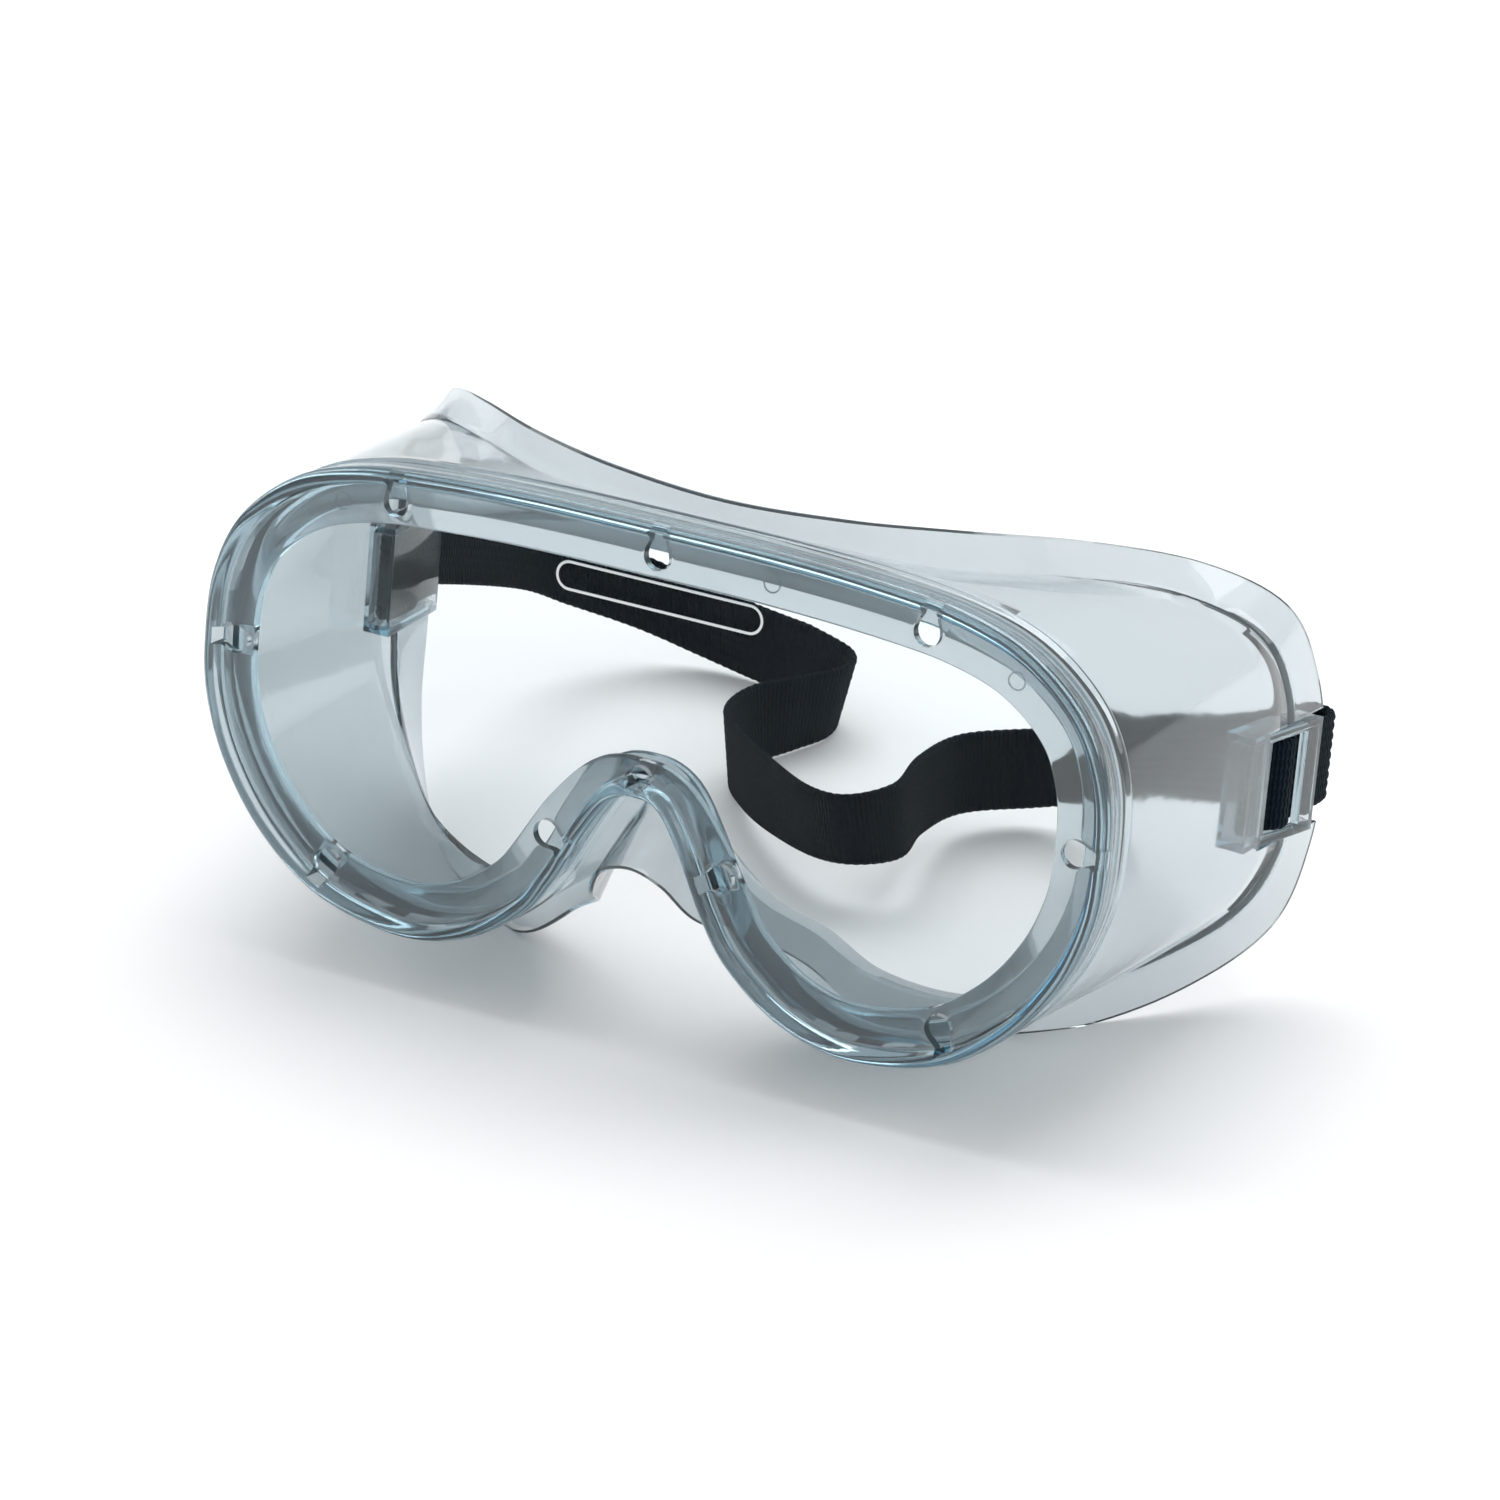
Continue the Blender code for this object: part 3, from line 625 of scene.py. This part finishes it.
etched, _, etched_shader = node_material("etched_line")
etched_shader.inputs["Base Color"].default_value = (0.88, 0.91, 0.92, 1.0)
etched_shader.inputs["Roughness"].default_value = 0.6
line = panel_line()
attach(line, "facepiece")

# ---- strap --------------------------------------------------------------------------
# Ribbed black woven elastic in one length.  Each end is folded back on itself inside its
# loop, which holds it; the slack middle lies behind the goggles in two bends.
RIBS = 9
PITCH = 0.42                    # length between two rings, in millimetres
SCALLOP = 1.5                   # pitch of the selvedge's loops
HINGE_W = LOOP_REAR + CLEARANCE + STRAP_WIDTH / 2
FOLD_INSET = 2.0                # from the pocket's wall to the stop fold
STOP_LENGTH = 8.0               # length folded back
BULGE = 2.3                     # how far the strap swells out of the window
BULGE_INSET = 0.9               # from the window's posts to the start of the swelling
EXIT_LENGTH = 3.0               # straight strap before and after the loop's rear
TURN = 3.2                      # radius of the strap's turn behind the left loop
TURN_START = 0.5                # from the hinge line to that turn
# Lower edge (x, y, height) behind the loops, and how far the top edge leans in x and y.
STRAP_ROUTE = [
    (-78.6, 38.4, 18.8, 0.5, 1.0),
    (-74.8, 47.7, 13.0, 0.8, 0.8),
    (-66.0, 56.3, 7.0, 0.0, 0.0),
    (-55.8, 60.8, 2.2, 0.0, 0.0),
    (-44.4, 60.3, 0.4, 0.0, 0.0),
    (-34.8, 58.1, 0.4, 1.5, 0.0),
    (-26.4, 53.9, 0.4, 3.8, 0.0),
    (-24.0, 47.5, 0.4, 3.4, 0.0),
    (-26.4, 40.5, 0.4, 1.8, 0.0),
    (-29.4, 32.9, 0.4, -0.4, 0.0),
    (-28.9, 24.5, 0.4, -1.0, 0.0),
    (-22.8, 17.3, 0.8, -0.4, -0.4),
    (-12.6, 8.5, 2.8, 0.0, -1.0),
    (0.4, -0.1, 5.6, 0.0, -2.8),
    (9.0, -1.7, 7.2, 0.0, -3.6),
    (13.6, 4.3, 6.8, 0.0, -2.0),
    (11.2, 15.5, 5.4, 0.0, -0.4),
    (11.8, 28.3, 3.6, 0.0, 0.0),
    (21.4, 36.7, 3.4, 0.0, 0.0),
    (33.2, 35.9, 7.4, 0.0, 0.0),
    (44.5, 31.9, 12.6, 0.0, 0.4),
    (54.7, 26.3, 17.6, 0.0, 0.9),
    (61.5, 21.7, 21.4, 0.0, 1.4),
    (67.5, 19.1, 24.6, 0.0, 2.0),
]
RIGHT_JOIN = 5                  # route knots at which the strap's three lengths meet
LEFT_JOIN = 19


def square_row(u, w):
    """Edges of the strap at a place where it stands square to the loop."""
    return np.concatenate([place(u, LOOP_V - STRAP_WIDTH / 2, w) / MM,
                           place(u, LOOP_V + STRAP_WIDTH / 2, w) / MM])


def loop_rows(side):
    """Lower and upper edge of the strap in a loop, from its stop fold to its exit."""
    layer = (STRAP_THICKNESS + CLEARANCE) / 2
    fold = LOOP_FRONT + LOOP_WALL + FOLD_INSET
    plan = [(fold + STOP_LENGTH, -layer), (fold + STOP_LENGTH / 2, -layer), (fold, -layer)]
    for step in range(5, 0, -1):
        angle = step * math.pi / 6
        plan.append((fold - layer * math.sin(angle), layer * math.cos(angle)))
    plan.append((fold, layer))
    window = WINDOW_REAR - WINDOW_FRONT
    for step in range(9):
        share = step / 8
        plan.append((WINDOW_FRONT + BULGE_INSET + share * (window - 2 * BULGE_INSET),
                     layer + BULGE * math.sin(math.pi * share)))
    plan += [(LOOP_REAR - EXIT_LENGTH, layer), (LOOP_REAR, layer),
             (LOOP_REAR + EXIT_LENGTH, layer)]
    return [square_row(side * lane(min(w, LOOP_REAR), offset), w) for w, offset in plan]


def route_row(knot):
    """Edges of the strap at a route knot."""
    x, y, height, lean_x, lean_y = knot
    rise = math.sqrt(STRAP_WIDTH ** 2 - lean_x ** 2 - lean_y ** 2)
    return np.array((x, y, height, x + lean_x, y + lean_y, height + rise))


def even_rows(rows):
    """Rows along a smooth curve through the given ones, PITCH apart."""
    curve = spline(rows, 12, False)
    middle = (curve[:, :3] + curve[:, 3:]) / 2
    travelled = np.concatenate([[0], np.cumsum(np.linalg.norm(np.diff(middle, axis=0),
                                                              axis=1))])
    count = max(int(round(travelled[-1] / PITCH)), 2)
    wanted = np.linspace(0, travelled[-1], count + 1)
    even = np.stack([np.interp(wanted, travelled, curve[:, axis]) for axis in range(6)],
                    axis=1)
    return even, wanted


def strap_section():
    """Ribbed section: (across -1 to 1, height -1 to 1) round both faces."""
    face = []
    steps = RIBS * 4
    for step in range(steps + 1):
        across = -1 + 2 * step / steps
        rib = abs(math.sin(math.pi * (across + 1) / 2 * RIBS)) ** 0.7
        edge_fade = min(1.0, (1 - abs(across)) * RIBS * 1.6)
        face.append((across, (0.66 + 0.34 * rib) * (0.55 + 0.45 * edge_fade)))
    return face + [(across, -height) for across, height in reversed(face)]


def strap_length(name, rows, start, material):
    """One length of strap over rows of edges; start is the length before it."""
    even, travelled = even_rows(rows)
    low = even[:, :3]
    high = even[:, 3:]
    middle = (low + high) / 2
    tangent = np.gradient(middle, axis=0)
    half = (high - low) / 2
    normal = np.cross(tangent, half)
    normal /= np.linalg.norm(normal, axis=1)[:, None]
    profile = strap_section()
    section_count = len(profile)
    vertices = []
    for index, distance in enumerate(travelled + start):
        phase = math.pi * distance / SCALLOP
        reach = 0.965 + 0.028 * abs(math.sin(phase))
        for number, (across, height) in enumerate(profile):
            rib = int((across + 1) / 2 * RIBS * 0.9999)
            knit = 1 + 0.07 * math.sin(2 * phase + math.pi * rib)
            point = (middle[index] + half[index] * across * reach
                     + normal[index] * height * knit * STRAP_THICKNESS / 2)
            vertices.append(point * MM)
    faces = grid_faces(len(even), section_count, False)
    last = (len(even) - 1) * section_count
    faces.append(tuple(range(section_count - 1, -1, -1)))
    faces.append(tuple(last + step for step in range(section_count)))
    piece = mesh_object(name, vertices, faces, material, 60.0)
    layer = piece.data.uv_layers.new(name="weave")
    across_of = np.array([across for across, height in profile]) * STRAP_WIDTH / 2
    coordinates = np.empty((len(piece.data.loops), 2))
    for number, corner in enumerate(piece.data.loops):
        ring, step = divmod(corner.vertex_index, section_count)
        coordinates[number] = (across_of[step], travelled[ring] + start)
    layer.data.foreach_set("uv", coordinates.ravel())
    return piece, travelled[-1] + start


def webbing_material():
    """Black elastic: a fine knit across each rib, dull, with a soft sheen and some lint."""
    material, tree, shader = node_material("black_webbing")
    nodes, links = tree.nodes, tree.links
    uv = nodes.new("ShaderNodeUVMap")
    uv.uv_map = "weave"
    weft = nodes.new("ShaderNodeTexWave")
    weft.wave_type = "BANDS"
    weft.bands_direction = "Y"
    weft.inputs["Scale"].default_value = 0.42
    weft.inputs["Distortion"].default_value = 1.2
    weft.inputs["Detail"].default_value = 1.0
    weft.inputs["Detail Scale"].default_value = 2.0
    links.new(uv.outputs["UV"], weft.inputs["Vector"])
    lint = nodes.new("ShaderNodeTexNoise")
    lint.inputs["Scale"].default_value = 2.2
    lint.inputs["Detail"].default_value = 6.0
    links.new(uv.outputs["UV"], lint.inputs["Vector"])
    ramp = nodes.new("ShaderNodeValToRGB")
    ramp.color_ramp.elements[0].position = 0.3
    ramp.color_ramp.elements[0].color = (0.001, 0.005, 0.009, 1.0)
    ramp.color_ramp.elements[1].position = 0.8
    ramp.color_ramp.elements[1].color = (0.003, 0.010, 0.016, 1.0)
    links.new(lint.outputs["Fac"], ramp.inputs["Fac"])
    links.new(ramp.outputs["Color"], shader.inputs["Base Color"])
    shader.inputs["Roughness"].default_value = 0.82
    shader.inputs["Sheen Weight"].default_value = 0.03
    shader.inputs["Sheen Roughness"].default_value = 0.5
    shader.inputs["Specular IOR Level"].default_value = 0.06
    bump = nodes.new("ShaderNodeBump")
    bump.inputs["Strength"].default_value = 0.7
    bump.inputs["Distance"].default_value = 0.00025
    links.new(weft.outputs["Fac"], bump.inputs["Height"])
    links.new(bump.outputs["Normal"], shader.inputs["Normal"])
    return material


webbing = webbing_material()
exit_u = lane(LOOP_REAR, (STRAP_THICKNESS + CLEARANCE) / 2)
right_rows = loop_rows(-1)
right_rows += [square_row(-exit_u, HINGE_W)]
right_rows += [route_row(knot) for knot in STRAP_ROUTE[:RIGHT_JOIN + 1]]
middle_rows = [route_row(knot) for knot in STRAP_ROUTE[RIGHT_JOIN:LEFT_JOIN + 1]]
left_rows = [route_row(knot) for knot in STRAP_ROUTE[LEFT_JOIN:]]
for step in range(4, -1, -1):
    angle = step * math.pi / 4
    left_rows.append(square_row(exit_u - TURN * (1 - math.cos(angle)),
                                HINGE_W + TURN_START + TURN * math.sin(angle)))
left_rows += loop_rows(1)[::-1]

strap_right, travelled = strap_length("strap_right", right_rows, 0.0, webbing)
strap_middle, travelled = strap_length("strap_middle", middle_rows, travelled, webbing)
strap_left, _ = strap_length("strap_left", left_rows, travelled, webbing)
for piece, node in ((strap_right, "strap_end_right"), (strap_left, "strap_end_left")):
    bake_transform(piece)
    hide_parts(node)
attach(strap_middle, "strap")
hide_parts("strap_main")
